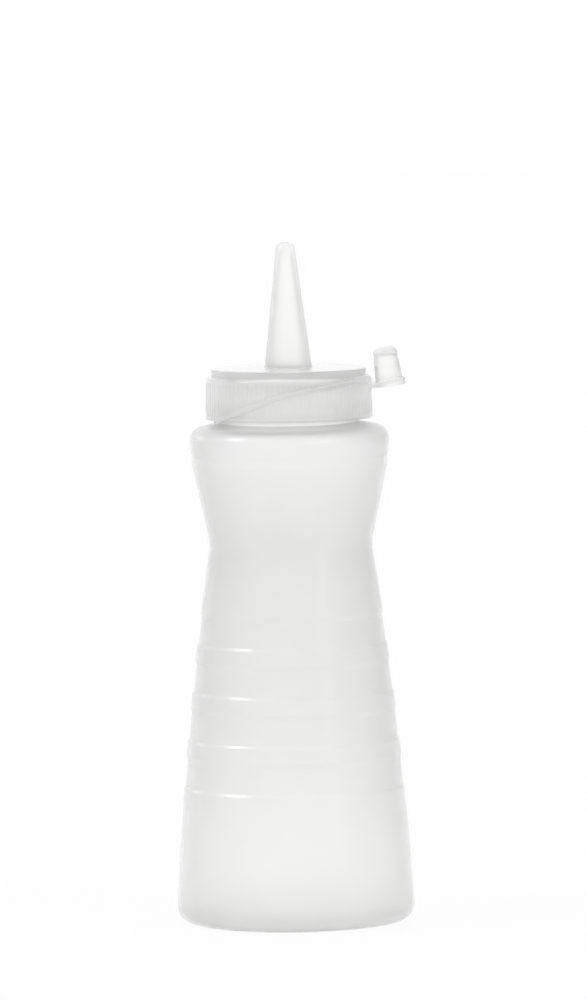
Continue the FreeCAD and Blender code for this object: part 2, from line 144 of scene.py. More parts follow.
def slice_mesh(name, points, slices, shares, flute=None, closed=False):
    """One slice of a turned piece; shares place its columns across it, and flute moves a point in or out."""
    angle = 2 * math.pi / slices
    made = bpy.data.meshes.new(name)
    grid = bmesh.new()
    rings = []
    for radius, level in points:
        ring = []
        for share in shares if radius > ON_AXIS else shares[:1]:
            reach = radius + (flute(radius, level, share) if flute else 0)
            turn = (share - 0.5) * angle
            spot = (reach * math.cos(turn) * MM, reach * math.sin(turn) * MM, level * MM)
            ring.append(grid.verts.new(spot))
        rings.append(ring)
    pairs = list(zip(rings, rings[1:]))
    if closed:
        pairs.append((rings[-1], rings[0]))
    for low, high in pairs:
        for n in range(len(shares) - 1):
            corners = [low[min(n, len(low) - 1)], low[min(n + 1, len(low) - 1)],
                       high[min(n + 1, len(high) - 1)], high[min(n, len(high) - 1)]]
            corners = list(dict.fromkeys(corners))
            if len(corners) > 2:
                grid.faces.new(corners)
    grid.to_mesh(made)
    grid.free()
    return made


# %% The tree that sets slices round the axis
def new_tree(name, inputs):
    """An empty Geometry Nodes tree with a geometry input, the given inputs and a geometry output."""
    tree = bpy.data.node_groups.new(name, "GeometryNodeTree")
    tree.interface.new_socket("Geometry", in_out="INPUT", socket_type="NodeSocketGeometry")
    for label, kind in inputs:
        tree.interface.new_socket(label, in_out="INPUT", socket_type=kind)
    tree.interface.new_socket("Geometry", in_out="OUTPUT", socket_type="NodeSocketGeometry")
    return tree, tree.nodes.new("NodeGroupInput"), tree.nodes.new("NodeGroupOutput")


def calculate(tree, operation, first, second):
    """A Math node on two sockets or plain numbers."""
    node = tree.nodes.new("ShaderNodeMath")
    node.operation = operation
    for socket, value in zip(node.inputs, (first, second)):
        if isinstance(value, (int, float)):
            socket.default_value = value
        else:
            tree.links.new(value, socket)
    return node.outputs[0]


def slices_tree():
    """Sets the slice on a number of points at the origin, each turned one step further, and welds them."""
    inputs = [("Slices", "NodeSocketInt"), ("Weld", "NodeSocketFloat"), ("Finish", "NodeSocketMaterial")]
    tree, given, result = new_tree("slices_round_axis", inputs)
    link = tree.links.new
    points = tree.nodes.new("GeometryNodeMeshLine")
    points.inputs["Offset"].default_value = (0, 0, 0)
    link(given.outputs["Slices"], points.inputs["Count"])
    step = calculate(tree, "DIVIDE", 2 * math.pi, given.outputs["Slices"])
    turn = calculate(tree, "MULTIPLY", tree.nodes.new("GeometryNodeInputIndex").outputs[0], step)
    angles = tree.nodes.new("ShaderNodeCombineXYZ")
    link(turn, angles.inputs["Z"])
    rotation = tree.nodes.new("FunctionNodeEulerToRotation")
    link(angles.outputs[0], rotation.inputs[0])
    copies = tree.nodes.new("GeometryNodeInstanceOnPoints")
    link(points.outputs[0], copies.inputs["Points"])
    link(given.outputs["Geometry"], copies.inputs["Instance"])
    link(rotation.outputs[0], copies.inputs["Rotation"])
    realized = tree.nodes.new("GeometryNodeRealizeInstances")
    link(copies.outputs[0], realized.inputs[0])
    welded = tree.nodes.new("GeometryNodeMergeByDistance")
    link(realized.outputs[0], welded.inputs["Geometry"])
    link(given.outputs["Weld"], welded.inputs["Distance"])
    smooth = tree.nodes.new("GeometryNodeSetShadeSmooth")
    link(welded.outputs[0], smooth.inputs[0])
    finish = tree.nodes.new("GeometryNodeSetMaterial")
    link(smooth.outputs[0], finish.inputs["Geometry"])
    link(given.outputs["Finish"], finish.inputs["Material"])
    link(finish.outputs[0], result.inputs[0])
    return tree


def outcome(piece, tree, **values):
    """The plain mesh that a piece becomes under the tree with these inputs."""
    modifier = piece.modifiers.new(tree.name, "NODES")
    modifier.node_group = tree
    for socket in tree.interface.items_tree:
        if socket.in_out == "INPUT" and socket.name in values:
            modifier[socket.identifier] = values[socket.name]
    graph = bpy.context.evaluated_depsgraph_get()
    graph.update()
    made = bpy.data.meshes.new_from_object(piece.evaluated_get(graph))
    piece.modifiers.clear()
    return made


def run_tree(piece, tree, **values):
    """Give the piece the plain mesh that it becomes under the tree."""
    piece.data = outcome(piece, tree, **values)


def new_piece(name, mesh):
    """An object of this name in the scene, at the origin."""
    piece = bpy.data.objects.new(name, mesh)
    bpy.context.scene.collection.objects.link(piece)
    return piece


def face_outwards(piece):
    """Turn the whole mesh inside out if its volume comes out negative, and say how large it is."""
    grid = bmesh.new()
    grid.from_mesh(piece.data)
    if grid.calc_volume(signed=True) < 0:
        bmesh.ops.reverse_faces(grid, faces=grid.faces)
        grid.to_mesh(piece.data)
    open_edges = sum(1 for edge in grid.edges if len(edge.link_faces) != 2)
    volume = grid.calc_volume(signed=True) / CM ** 3
    triangles = sum(len(face.verts) - 2 for face in grid.faces)
    print(f"{piece.name}: {volume:.2f} cm3, {triangles} triangles, {open_edges} open edges")
    grid.free()


SLICES = slices_tree()
WELD = 0.0005 * MM

# %% [markdown]
# ## The finish
# Natural polyethylene is milky: its crystals scatter part of the light and the rest passes through,
# blurred. One Principled shader does both. Its transmission lets the blurred light through, what is left of
# it is the white haze, and uneven roughness under a clear coat gives the satin skin. Seen aslant the way
# through the wall is longer, so less light gets through there, and the wall's inside has a weak absorption
# of its own. Light that is already in the wall always leaves it again. Lamps would lose their way in the
# blur, so to them the wall is a thin grey veil. The haze's grey goes by level, and on the bottle and the
# cover that grey also holds painted light and shade.

# %% Shader helpers
def shader_node(tree, kind, **sockets):
    """A shader node with its sockets set to values or linked."""
    node = tree.nodes.new(kind)
    for label, value in sockets.items():
        socket = node.inputs[label.replace("_", " ")]
        if isinstance(value, bpy.types.NodeSocket):
            tree.links.new(value, socket)
        else:
            socket.default_value = value
    return node


def spread(tree, value, low, high, start=0.0, end=1.0):
    """Map a value that runs from start to end to a range."""
    node = shader_node(
        tree, "ShaderNodeMapRange", Value=value, From_Min=start, From_Max=end, To_Min=low, To_Max=high
    )
    return node.outputs[0]


def by_level(tree, height, pairs):
    """A value that runs straight between pairs of a level in mm and a value, or one value all over."""
    if isinstance(pairs, float):
        return pairs
    foot, head = pairs[0][0], pairs[-1][0]
    ramp = shader_node(tree, "ShaderNodeValToRGB", Fac=spread(tree, height, 0.0, 1.0, foot * MM, head * MM))
    stops = ramp.color_ramp.elements
    for level, value in pairs:
        ends = {foot: stops[0], head: stops[-1]}
        stop = ends.get(level) or stops.new((level - foot) / (head - foot))
        stop.color = (value, value, value, 1)
    return ramp.outputs["Color"]


def noise_over(tree, place, scale, detail):
    """A noise between 0 and 1 all over the piece."""
    return shader_node(tree, "ShaderNodeTexNoise", Vector=place, Scale=scale, Detail=detail).outputs[0]


# %% The parting line
PARTING_LINE = 0.25
PARTING_HEIGHT = 0.05


def parting_ridge(tree, across):
    """A fine ridge where the two halves of the mould met, on the plane through the middle."""
    off_plane = calculate(tree, "ABSOLUTE", across, 0.0)
    ridge = spread(tree, off_plane, 1.0, 0.0, PARTING_LINE / 4 * MM, PARTING_LINE * MM)
    bump = shader_node(tree, "ShaderNodeBump", Strength=1.0, Distance=PARTING_HEIGHT * MM, Height=ridge)
    return bump.outputs[0]


# %% Milky polyethylene
TINT = (1.0, 1.0, 0.995)
CLOUD_SCALE, CLOUD_DETAIL = 70.0, 4.0
SKIN_SCALE, SKIN_DETAIL = 2600.0, 2.0
LEVEL_WAVE = 1.0
TONE_WAVE = 0.02
CLEAR_WAVE = 0.03
ROUGH_WAVE = 0.03
SLANT_POWER = 3.0
SLANT_LOSS = 0.9
BODY_IOR = 1.25
SKIN_IOR = 1.5
WALL_TONE = 0.6
VEIL_TONE = 0.8


def milky_polyethylene(name, tone, clear, rough, dim, gloss, coat, parting=False):
    """Tone is the haze's grey, clear the share let through and coat the gloss on top, by level or all over.

    Rough blurs what passes, gloss is the coat's own blur, and dim is the light lost per mm of wall. On the
    bottle and the cover the tone by level also holds painted light and shade.
    """
    finish = bpy.data.materials.new(name)
    finish.use_nodes = True
    tree = finish.node_tree
    tree.nodes.clear()
    place = tree.nodes.new("ShaderNodeTexCoord").outputs["Object"]
    sides = shader_node(tree, "ShaderNodeSeparateXYZ", Vector=place)
    height = sides.outputs["Z"]
    clouds = noise_over(tree, place, CLOUD_SCALE, CLOUD_DETAIL)
    skin = noise_over(tree, place, SKIN_SCALE, SKIN_DETAIL)
    wavy = calculate(tree, "ADD", height, spread(tree, clouds, -LEVEL_WAVE * MM, LEVEL_WAVE * MM))
    uneven = spread(tree, clouds, 1 - TONE_WAVE, 1 + TONE_WAVE)
    # Painted light and shade: on the bottle and the cover the tone by level is made lighter or darker where
    # light falls, on top of the haze's own grey.
    haze_and_painted_light = calculate(tree, "MULTIPLY", by_level(tree, wavy, tone), uneven)
    shade = tree.nodes.new("ShaderNodeCombineColor")
    for socket, tint in zip(shade.inputs, TINT):
        tree.links.new(calculate(tree, "MULTIPLY", haze_and_painted_light, tint), socket)
    slant = shader_node(tree, "ShaderNodeLayerWeight", Blend=0.5).outputs["Facing"]
    longer_way = calculate(tree, "POWER", slant, SLANT_POWER)
    drift = spread(tree, clouds, -CLEAR_WAVE, CLEAR_WAVE)
    let_through = calculate(tree, "ADD", by_level(tree, height, clear), drift)
    let_through = calculate(tree, "MULTIPLY", let_through, spread(tree, longer_way, 1.0, 1 - SLANT_LOSS))
    in_the_wall = tree.nodes.new("ShaderNodeNewGeometry").outputs["Backfacing"]
    body = shader_node(
        tree, "ShaderNodeBsdfPrincipled",
        Base_Color=shade.outputs[0],
        Roughness=calculate(tree, "ADD", rough, spread(tree, skin, -ROUGH_WAVE, ROUGH_WAVE)),
        IOR=BODY_IOR,
        Transmission_Weight=calculate(tree, "MAXIMUM", let_through, in_the_wall),
        Coat_Weight=by_level(tree, height, coat),
        Coat_Roughness=gloss,
        Coat_IOR=SKIN_IOR,
    )
    if parting:
        tree.links.new(parting_ridge(tree, sides.outputs["Y"]), body.inputs["Normal"])
    veil = shader_node(tree, "ShaderNodeBsdfTransparent", Color=(VEIL_TONE, VEIL_TONE, VEIL_TONE, 1))
    lamp_ray = tree.nodes.new("ShaderNodeLightPath").outputs["Is Shadow Ray"]
    surface = shader_node(tree, "ShaderNodeMixShader", Fac=lamp_ray)
    tree.links.new(body.outputs[0], surface.inputs[1])
    tree.links.new(veil.outputs[0], surface.inputs[2])
    wall = shader_node(
        tree, "ShaderNodeVolumeAbsorption", Color=(WALL_TONE, WALL_TONE, WALL_TONE, 1), Density=dim / MM
    )
    out = tree.nodes.new("ShaderNodeOutputMaterial")
    tree.links.new(surface.outputs[0], out.inputs["Surface"])
    tree.links.new(wall.outputs[0], out.inputs["Volume"])
    return finish


# %% [markdown]
# ## The three finishes
# One plastic looks different where it is thick, thin or backed by another wall, so tone and clear share go
# by level, in millimetres above the floor. The bottle's and the cover's tones hold painted light and shade
# too. On the bottle the foot's corner ends at 5, the grip bands run from 41 to 94, the waist is at 115 and
# the shoulder begins at 139. Its tone is painted lighter near the foot and the shoulder, where light comes
# in, and darker towards the waist; the darker foot is partly its thicker corner and partly a painted floor
# shadow. On the cap the skirt ends at 165.7 and the deck at 167.8, and the nozzle stands on it. The cover's
# flange lies at 162, with most of the strap below it, and its thick crown begins at 171.7, where a painted
# dark band stands for the shade at the bore's rounded top.

# %% The three finishes
bottle_finish = milky_polyethylene(
    "milky_bottle",
    # Painted light and shade in the tone: lighter near the foot and the shoulder, where light comes in
    # through the base and the shoulder, and darkest at the waist, far from both. The darker foot below 7 mm
    # is partly the thicker base corner and partly a painted shadow of the floor seen through it.
    tone=[(0, 0.9), (4.5, 0.93), (7, 0.99), (12, 1.0), (21, 1.0), (43, 0.965), (67, 0.945), (97, 0.935),
          (112, 0.92), (128, 0.955), (143, 1.0), (165, 1.0)],
    clear=[(0, 0.75), (140, 0.75), (148, 0.95), (165, 0.95)],
    rough=0.38, dim=0.02, gloss=0.12,
    coat=[(0, 1.0), (36, 1.0), (44, 0.6), (100, 0.6), (112, 1.0), (146.5, 1.0), (149.5, 0.2), (165, 0.2)],
    parting=True,
)
cap_finish = milky_polyethylene(
    "milky_cap",
    tone=[(150, 0.89), (154, 0.9), (160, 1.0), (165.4, 1.0), (165.8, 0.84), (167.2, 0.84), (167.7, 0.87),
          (169, 0.99), (206, 1.0)],
    clear=[(150, 0.5), (167.8, 0.5), (169.5, 0.95), (206, 1.0)],
    rough=0.34, dim=0.02, gloss=0.1, coat=1.0,
)
cover_finish = milky_polyethylene(
    "clear_cover",
    # Painted shade: the dark band from 171.6 to 173.2 mm stands for the shade at the bore's rounded top under
    # the crown.
    tone=[(150, 0.93), (161, 0.93), (162.5, 1.0), (170.8, 1.0), (171.6, 0.86), (172.6, 0.86), (173.2, 0.97),
          (175, 0.95)],
    clear=[(150, 0.6), (161, 0.6), (162.5, 0.98), (175, 0.98)],
    rough=0.34, dim=0.01, gloss=0.05, coat=1.0,
)
print("finishes:", bottle_finish.name, cap_finish.name, cover_finish.name)

# %% [markdown]
# ## The bottle
# Air blows a hot tube against the halves of a mould, so the outside is crisp and the inside follows it
# softly, one wall's thickness further in. Half of the section is drawn once for any distance from the outer
# skin.

# %% Bottle sizes
WALL = 1.1
BASE_CORNER = 5.1
FOOT_RING = 26.5
FOOT_DISH = 3.0
SIDE_RADIUS = 1170.0
WAIST_LEVEL = 114.8
WAIST_RADIUS = 24.55
WAIST_ROUND = 9.0
GRIP_COUNT = 4
GRIP_DROP = 20.5
GRIP_PITCH = 14.5
GRIP_LENGTH = 10.25
GRIP_DEPTH = 0.4
GRIP_LEDGE = 0.9
GRIP_EASE = 1.6
GRIP_ROUND = 0.5
FUNNEL_TOP = 138.9
SHOULDER_RADIUS = 30.2
SHOULDER_INSET = 0.6
SHOULDER_BAND = 2.3
SHOULDER_BULGE = 4.8
SHOULDER_ROUND = 4.4
SHOULDER_SLOPE = math.radians(11)
NECK_RADIUS = 21.9
NECK_GROOVE = 1.1
NECK_HEIGHT = 12.6
NECK_GROOVE_HEIGHT = 2.0
NECK_GROOVE_RISE = 0.6
NECK_ROOT_ROUND = 0.5
NECK_GROOVE_ROUND = 0.3
NECK_EDGE_ROUND = 0.4
LIP_ROUND = 0.4
BOTTLE_RUN = 3.0


# %% The bowed side
def side_radius(level):
    """The bowed side's radius at a level, on the circle through the foot corner and the waist."""
    start, end = Vector((foot_radius, BASE_CORNER)), Vector((WAIST_RADIUS, WAIST_LEVEL))
    chord = end - start
    reach = math.sqrt(SIDE_RADIUS ** 2 - chord.length_squared / 4)
    centre = (start + end) / 2 + Vector((-chord.y, chord.x)).normalized() * reach
    return centre.x + math.sqrt(SIDE_RADIUS ** 2 - (level - centre.y) ** 2)


def side_corners(inset, bend):
    """Corners of the side from the foot up; each band is a ledge, a floor and an eased top."""
    corners = []
    tops = [WAIST_LEVEL - GRIP_DROP - n * GRIP_PITCH for n in reversed(range(GRIP_COUNT))]
    for share in (0.25, 0.5, 0.75):
        level = BASE_CORNER + (tops[0] - GRIP_LENGTH - BASE_CORNER) * share
        corners.append((side_radius(level) - inset, level, 0))
    for top in tops:
        foot = top - GRIP_LENGTH
        stations = ((foot, 0), (foot + GRIP_LEDGE, GRIP_DEPTH), (top - GRIP_EASE, GRIP_DEPTH), (top, 0))
        for level, sunk in stations:
            corners.append((side_radius(level) - inset - sunk, level, bend))
    return corners


# %% The whole bottle outline
def waist_arc(inset):
    """The hollow round of the waist, tangent to the side below it and to the funnel above it."""
    side_top = WAIST_LEVEL - GRIP_DROP
    side_lean = math.atan((side_radius(side_top) - WAIST_RADIUS) / GRIP_DROP)
    ledge = SHOULDER_RADIUS - SHOULDER_INSET
    funnel_lean = math.atan((ledge - WAIST_RADIUS) / (FUNNEL_TOP - WAIST_LEVEL))
    radius = WAIST_ROUND + inset
    run = radius * math.tan((side_lean + funnel_lean) / 2)
    corner = WAIST_RADIUS - inset
    foot = (corner + run * math.sin(side_lean), WAIST_LEVEL - run * math.cos(side_lean))
    head = (corner + run * math.sin(funnel_lean), WAIST_LEVEL + run * math.cos(funnel_lean))
    return [foot] + arc_between(foot, head, radius, -1)


def bottle_outline(inset, bend):
    """Half of the bottle's form from the middle of the dish to the lip, an inset inside the outer skin."""
    dish = (FOOT_RING ** 2 + FOOT_DISH ** 2) / (2 * FOOT_DISH)
    bulge = (SHOULDER_INSET ** 2 + SHOULDER_BULGE ** 2) / (2 * SHOULDER_INSET)
    ledge = SHOULDER_RADIUS - SHOULDER_INSET - inset
    band_top = FUNNEL_TOP + SHOULDER_BAND
    level = band_top + SHOULDER_BULGE
    crown_round = SHOULDER_ROUND - inset
    turn = (SHOULDER_RADIUS - SHOULDER_ROUND + crown_round * math.sin(SHOULDER_SLOPE),
            level + crown_round * math.cos(SHOULDER_SLOPE))
    root = NECK_RADIUS - NECK_GROOVE - inset
    root_level = turn[1] + (turn[0] - root) * math.tan(SHOULDER_SLOPE)
    groove_top = lip_level - NECK_HEIGHT + NECK_GROOVE_HEIGHT
    low = [(0, FOOT_DISH + inset)] + arc_between((0, FOOT_DISH + inset), (FOOT_RING, inset), dish, -1)
    flat = (foot_radius - BASE_CORNER, inset)
    low += [flat] + arc_between(flat, (foot_radius - inset, BASE_CORNER), BASE_CORNER - inset, 1)
    side = side_corners(inset, bend)
    waist = [(*point, 0) for point in waist_arc(inset)]
    head = [(ledge, FUNNEL_TOP, bend), (ledge, band_top, bend)]
    bulge_side = arc_between((ledge, band_top), (SHOULDER_RADIUS - inset, level), bulge, 1)
    crown = arc_between((SHOULDER_RADIUS - inset, level), turn, crown_round, 1)
    neck = [(root, root_level, NECK_ROOT_ROUND), (root, groove_top, NECK_GROOVE_ROUND),
            (NECK_RADIUS - inset, groove_top + NECK_GROOVE_RISE, NECK_EDGE_ROUND)]
    return ([(*point, 0) for point in low] + side + waist + head
            + [(*point, 0) for point in bulge_side + crown] + neck)


def bottle_section():
    """The section: up the outside, over the rounded lip and down the inside to the floor's middle."""
    lip_middle = (NECK_RADIUS - WALL / 2, lip_level, 0)
    outside = bottle_outline(0, GRIP_ROUND) + [(NECK_RADIUS, lip_level, LIP_ROUND), lip_middle]
    inside = [lip_middle, (NECK_RADIUS - WALL, lip_level, LIP_ROUND)]
    inside += bottle_outline(WALL, 2 * GRIP_ROUND)[::-1]
    return divide(soften(outside), BOTTLE_RUN) + divide(soften(inside), BOTTLE_RUN)[1:]


# %% Turn the bottle
BOTTLE_SLICES = 192
bottle_slice = slice_mesh("bottle_slice", bottle_section(), BOTTLE_SLICES, [0, 1])
bottle = new_piece("bottle_shell", bottle_slice)
run_tree(bottle, SLICES, Slices=BOTTLE_SLICES, Weld=WELD, Finish=bottle_finish)
face_outwards(bottle)

# %% [markdown]
# ## The cap and its nozzle
# The cap is one moulding: a fluted skirt, a stepped deck with a plug that seals the neck from inside, and a
# long hollow nozzle. A slice of it carries one flute.

# %% Cap sizes
SKIRT_BORE = 23.2
SKIRT_RADIUS = 25.2
SKIRT_TOP_RADIUS = 25.05
SKIRT_ROUND = 1.5
RIM_HEIGHT = 0.8
RIM_FLARE = 0.15
RIM_ROUND = 0.25
FINE_ROUND = 0.15
BORE_ROUND = 0.2
INNER_ROUND = 0.4
FUNNEL_ROUND = 0.6
DECK_WALL = 1.6
DECK_STEP = 2.1
DECK_EDGE = 0.4
DECK_MIDDLE = 16.0
PLUG_RADIUS = 20.6
PLUG_WALL = 1.2
PLUG_DEPTH = 2.2
LEAD_IN = 0.5
FLUTE_COUNT = 96
FLUTE_DEPTH = 0.22
FLUTE_MARGIN = 0.4
FLUTE_SPREAD = 0.27
FLUTE_SHARES = [0, 0.5 - FLUTE_SPREAD, 0.5, 0.5 + FLUTE_SPREAD, 1]
NOZZLE_BASE = 7.2
NOZZLE_TIP = 2.9
NOZZLE_NOSE = 1.9
NOZZLE_NOSE_ROUND = 2.2
NOZZLE_FLAT = 1.6
NOZZLE_WALL = 1.25
NOZZLE_FOOT_ROUND = 0.5
ORIFICE = 1.0
ORIFICE_LENGTH = 2.5
NOZZLE_LEAN = math.radians(0.65)
CAP_RUN = 6.0
HAIR = 0.01
skirt_top = lip_level + DECK_WALL
deck_top = skirt_top + DECK_STEP
flute_foot = rim_level + RIM_HEIGHT + RIM_FLARE + FLUTE_MARGIN
flute_head = skirt_top - SKIRT_ROUND - FLUTE_MARGIN


# %% The cap's section
def cap_section():
    """The closed section: up the skirt, over deck and nozzle, down the bore and round the plug to the rim."""
    rim_top = rim_level + RIM_HEIGHT
    deck_radius = SKIRT_TOP_RADIUS - SKIRT_ROUND
    nose_foot = tip_level - NOZZLE_NOSE
    underside = deck_top - DECK_WALL
    plug_foot = lip_level - PLUG_DEPTH
    rim_middle = (SKIRT_BORE + rim_radius) / 2
    outside = [(rim_middle, rim_level, 0), (rim_radius, rim_level, RIM_ROUND),
               (rim_radius, rim_top, FINE_ROUND), (SKIRT_RADIUS, rim_top + RIM_FLARE, FINE_ROUND),
               (SKIRT_RADIUS, flute_foot, 0), (SKIRT_RADIUS, flute_foot + FLUTE_DEPTH, 0),
               (SKIRT_TOP_RADIUS, flute_head - FLUTE_DEPTH, 0), (SKIRT_TOP_RADIUS, flute_head, 0),
               (SKIRT_TOP_RADIUS, skirt_top - SKIRT_ROUND, 0)]
    turn = arc_between(outside[-1][:2], (deck_radius, skirt_top), SKIRT_ROUND, 1)
    deck = [(deck_radius, skirt_top + HAIR, 0), (deck_radius, deck_top, DECK_EDGE),
            (DECK_MIDDLE, deck_top, 0), (NOZZLE_BASE, deck_top, NOZZLE_FOOT_ROUND),
            (NOZZLE_TIP, nose_foot, 0)]
    nose = arc_between((NOZZLE_TIP, nose_foot), (NOZZLE_FLAT, tip_level), NOZZLE_NOSE_ROUND, 1)
    bore = [(ORIFICE, tip_level, BORE_ROUND), (ORIFICE, tip_level - ORIFICE_LENGTH, BORE_ROUND),
            (NOZZLE_TIP - NOZZLE_WALL, tip_level - ORIFICE_LENGTH - LEAD_IN, BORE_ROUND),
            (NOZZLE_BASE - NOZZLE_WALL, underside, FUNNEL_ROUND),
            (PLUG_RADIUS - PLUG_WALL, underside, INNER_ROUND),
            (PLUG_RADIUS - PLUG_WALL, plug_foot, BORE_ROUND),
            (PLUG_RADIUS - LEAD_IN, plug_foot, BORE_ROUND),
            (PLUG_RADIUS, plug_foot + LEAD_IN, BORE_ROUND), (PLUG_RADIUS, lip_level, FINE_ROUND),
            (SKIRT_BORE, lip_level, INNER_ROUND), (SKIRT_BORE, rim_level + LEAD_IN, BORE_ROUND),
            (SKIRT_BORE + LEAD_IN, rim_level, FINE_ROUND), (rim_middle, rim_level, 0)]
    corners = outside + [(*point, 0) for point in turn] + deck + [(*point, 0) for point in nose] + bore
    return divide(soften(corners), CAP_RUN)[:-1]


# %% Turn the cap
def flute(radius, level, share):
    """How far a point of the slice is cut in: a V in the skirt that runs out at both ends."""
    on_skirt = radius > SKIRT_TOP_RADIUS - HAIR and flute_foot <= level <= flute_head
    if not on_skirt:
        return 0
    run_out = min(1, (level - flute_foot) / FLUTE_DEPTH, (flute_head - level) / FLUTE_DEPTH)
    across = max(0, 1 - abs(share - 0.5) / FLUTE_SPREAD)
    return -FLUTE_DEPTH * run_out * across


cap_slice = slice_mesh("cap_slice", cap_section(), FLUTE_COUNT, FLUTE_SHARES, flute=flute, closed=True)
cap = new_piece("nozzle_cap_moulding", cap_slice)
run_tree(cap, SLICES, Slices=FLUTE_COUNT, Weld=WELD, Finish=cap_finish)
for spot in cap.data.vertices:
    spot.co.x -= max(0, spot.co.z - deck_top * MM) * math.tan(NOZZLE_LEAN)
face_outwards(cap)

# %% [markdown]
# ## The tip cover and its loop strap
# Cover and strap are one soft moulding. The loop goes round the neck under the cap's rim, climbs along the
# skirt and holds the cover beside the deck. A strap is a section carried along a path, so Geometry Nodes
# sweeps it, and the cover is turned from its own section and joined to it by a boolean, which leaves one
# closed skin.

# %% Strap and cover sizes
STRAP_THICK = 1.1
STRAP_HEIGHT = 1.5
STRAP_EDGE = 0.3
STRAP_CORNER = 3.0
STRAP_CLIMB = 10.7
STRAP_RUN = 1.5
STRAP_EDGE_STEPS = 4
STRAP_WAY = [(-0.765, 0.03, 0), (-0.155, 0.61, 0), (0.23, 0.81, 60), (0.79, 1.0, 0)]
LEAVE_BEND = 76
FLANGE_BEND = 24
BELT_STEP = math.radians(3.5)
BELT_PLAY = 0.25
NECK_PLAY = 0.8
PINCH_PLAY = 0.1
COVER_TILT = math.radians(8)
COVER_LENGTH = 11.8
COVER_FLANGE_RADIUS = 4.85
COVER_FLANGE = 0.8
COVER_FLANGE_ROUND = 0.25
COVER_ROOT_ROUND = 0.3
COVER_BASE = 4.25
COVER_TOP = 3.65
COVER_TOP_ROUND = 2.0
COVER_CROWN = 2.0
COVER_BORE = 3.6
COVER_BORE_TOP = 3.0
COVER_BORE_ROUND = 1.8
COVER_PLAY = 0.4
COVER_LIFT = 9.35
COVER_SLICES = 72
COVER_RUN = 2.0
SHARP_ANGLE = math.radians(40)
belt_radius = rim_radius + BELT_PLAY + STRAP_THICK / 2
neck_side = NECK_RADIUS - NECK_GROOVE + NECK_PLAY + STRAP_THICK / 2
cover_reach = rim_radius + COVER_PLAY + COVER_FLANGE_RADIUS
cover_level = rim_level + COVER_LIFT
print(f"cover stands at x {cover_reach:.2f}, level {cover_level:.2f} mm")


# %% The path of the strap
def circle_run(start, end, radius, centre=0):
    """Points after start along a clockwise run of a circle about a centre on the X axis."""
    first = math.atan2(start[1], start[0] - centre)
    last = math.atan2(end[1], end[0] - centre)
    count = max(2, math.ceil((first - last) / BELT_STEP))
    angles = [first + (last - first) * n / count for n in range(1, count + 1)]
    return [(centre + radius * math.cos(angle), radius * math.sin(angle)) for angle in angles]


def strap_plan():
    """One half of the loop in plan, from the neck's left side round to the far side of the cover."""
    hub = COVER_BASE - STRAP_THICK / 4
    lean = math.acos((belt_radius - hub) / cover_reach)
    leave = (belt_radius * math.cos(lean), belt_radius * math.sin(lean))
    arrive = (cover_reach + hub * math.cos(lean), hub * math.sin(lean))
    inner = math.sqrt((belt_radius - STRAP_CORNER) ** 2 - (neck_side - STRAP_CORNER) ** 2)
    scale = belt_radius / (belt_radius - STRAP_CORNER)
    turn = (-(neck_side - STRAP_CORNER) * scale, inner * scale)
    half = divide([(-neck_side, 0), (-neck_side, inner)], STRAP_RUN)
    half += arc_between(half[-1], turn, STRAP_CORNER, -1)
    half += circle_run(turn, leave, belt_radius)
    half += divide([leave, arrive], STRAP_RUN)[1:]
    half += circle_run(arrive, (cover_reach + hub, 0), hub, centre=cover_reach)
    return half


def flange_middle(across):
    """The level of the tilted flange's middle plane at a place across."""
    rise = (across - cover_reach) * math.tan(COVER_TILT)
    return cover_level + COVER_FLANGE / 2 / math.cos(COVER_TILT) + rise


def strap_side():
    """The strap's foot in side view, from the neck to the far side of the cover.

    STRAP_WAY gives its places as shares of the belt's radius and of the climb, each with the bend up to it.
    """
    near, far = cover_reach - COVER_FLANGE_RADIUS, cover_reach + COVER_FLANGE_RADIUS
    pinch = lip_level - NECK_HEIGHT + PINCH_PLAY
    path = [(-neck_side - STRAP_THICK, pinch), (-neck_side + STRAP_THICK / 2, pinch)]
    for across, up, bend in STRAP_WAY:
        spot = (across * belt_radius, rim_level + up * STRAP_CLIMB)
        path += arc_between(path[-1], spot, bend, -1) if bend else [spot]
    path += arc_between(path[-1], (near, flange_middle(near)), LEAVE_BEND, -1)
    path += arc_between(path[-1], (far, flange_middle(far)), FLANGE_BEND, -1)
    path.append((far + 1, flange_middle(far + 1)))
    return path


def level_on(path, across):
    """The level of a side view path at a place across."""
    for start, end in zip(path, path[1:]):
        if start[0] <= across <= end[0]:
            return start[1] + (end[1] - start[1]) * (across - start[0]) / (end[0] - start[0])
    return path[0][1] if across < path[0][0] else path[-1][1]


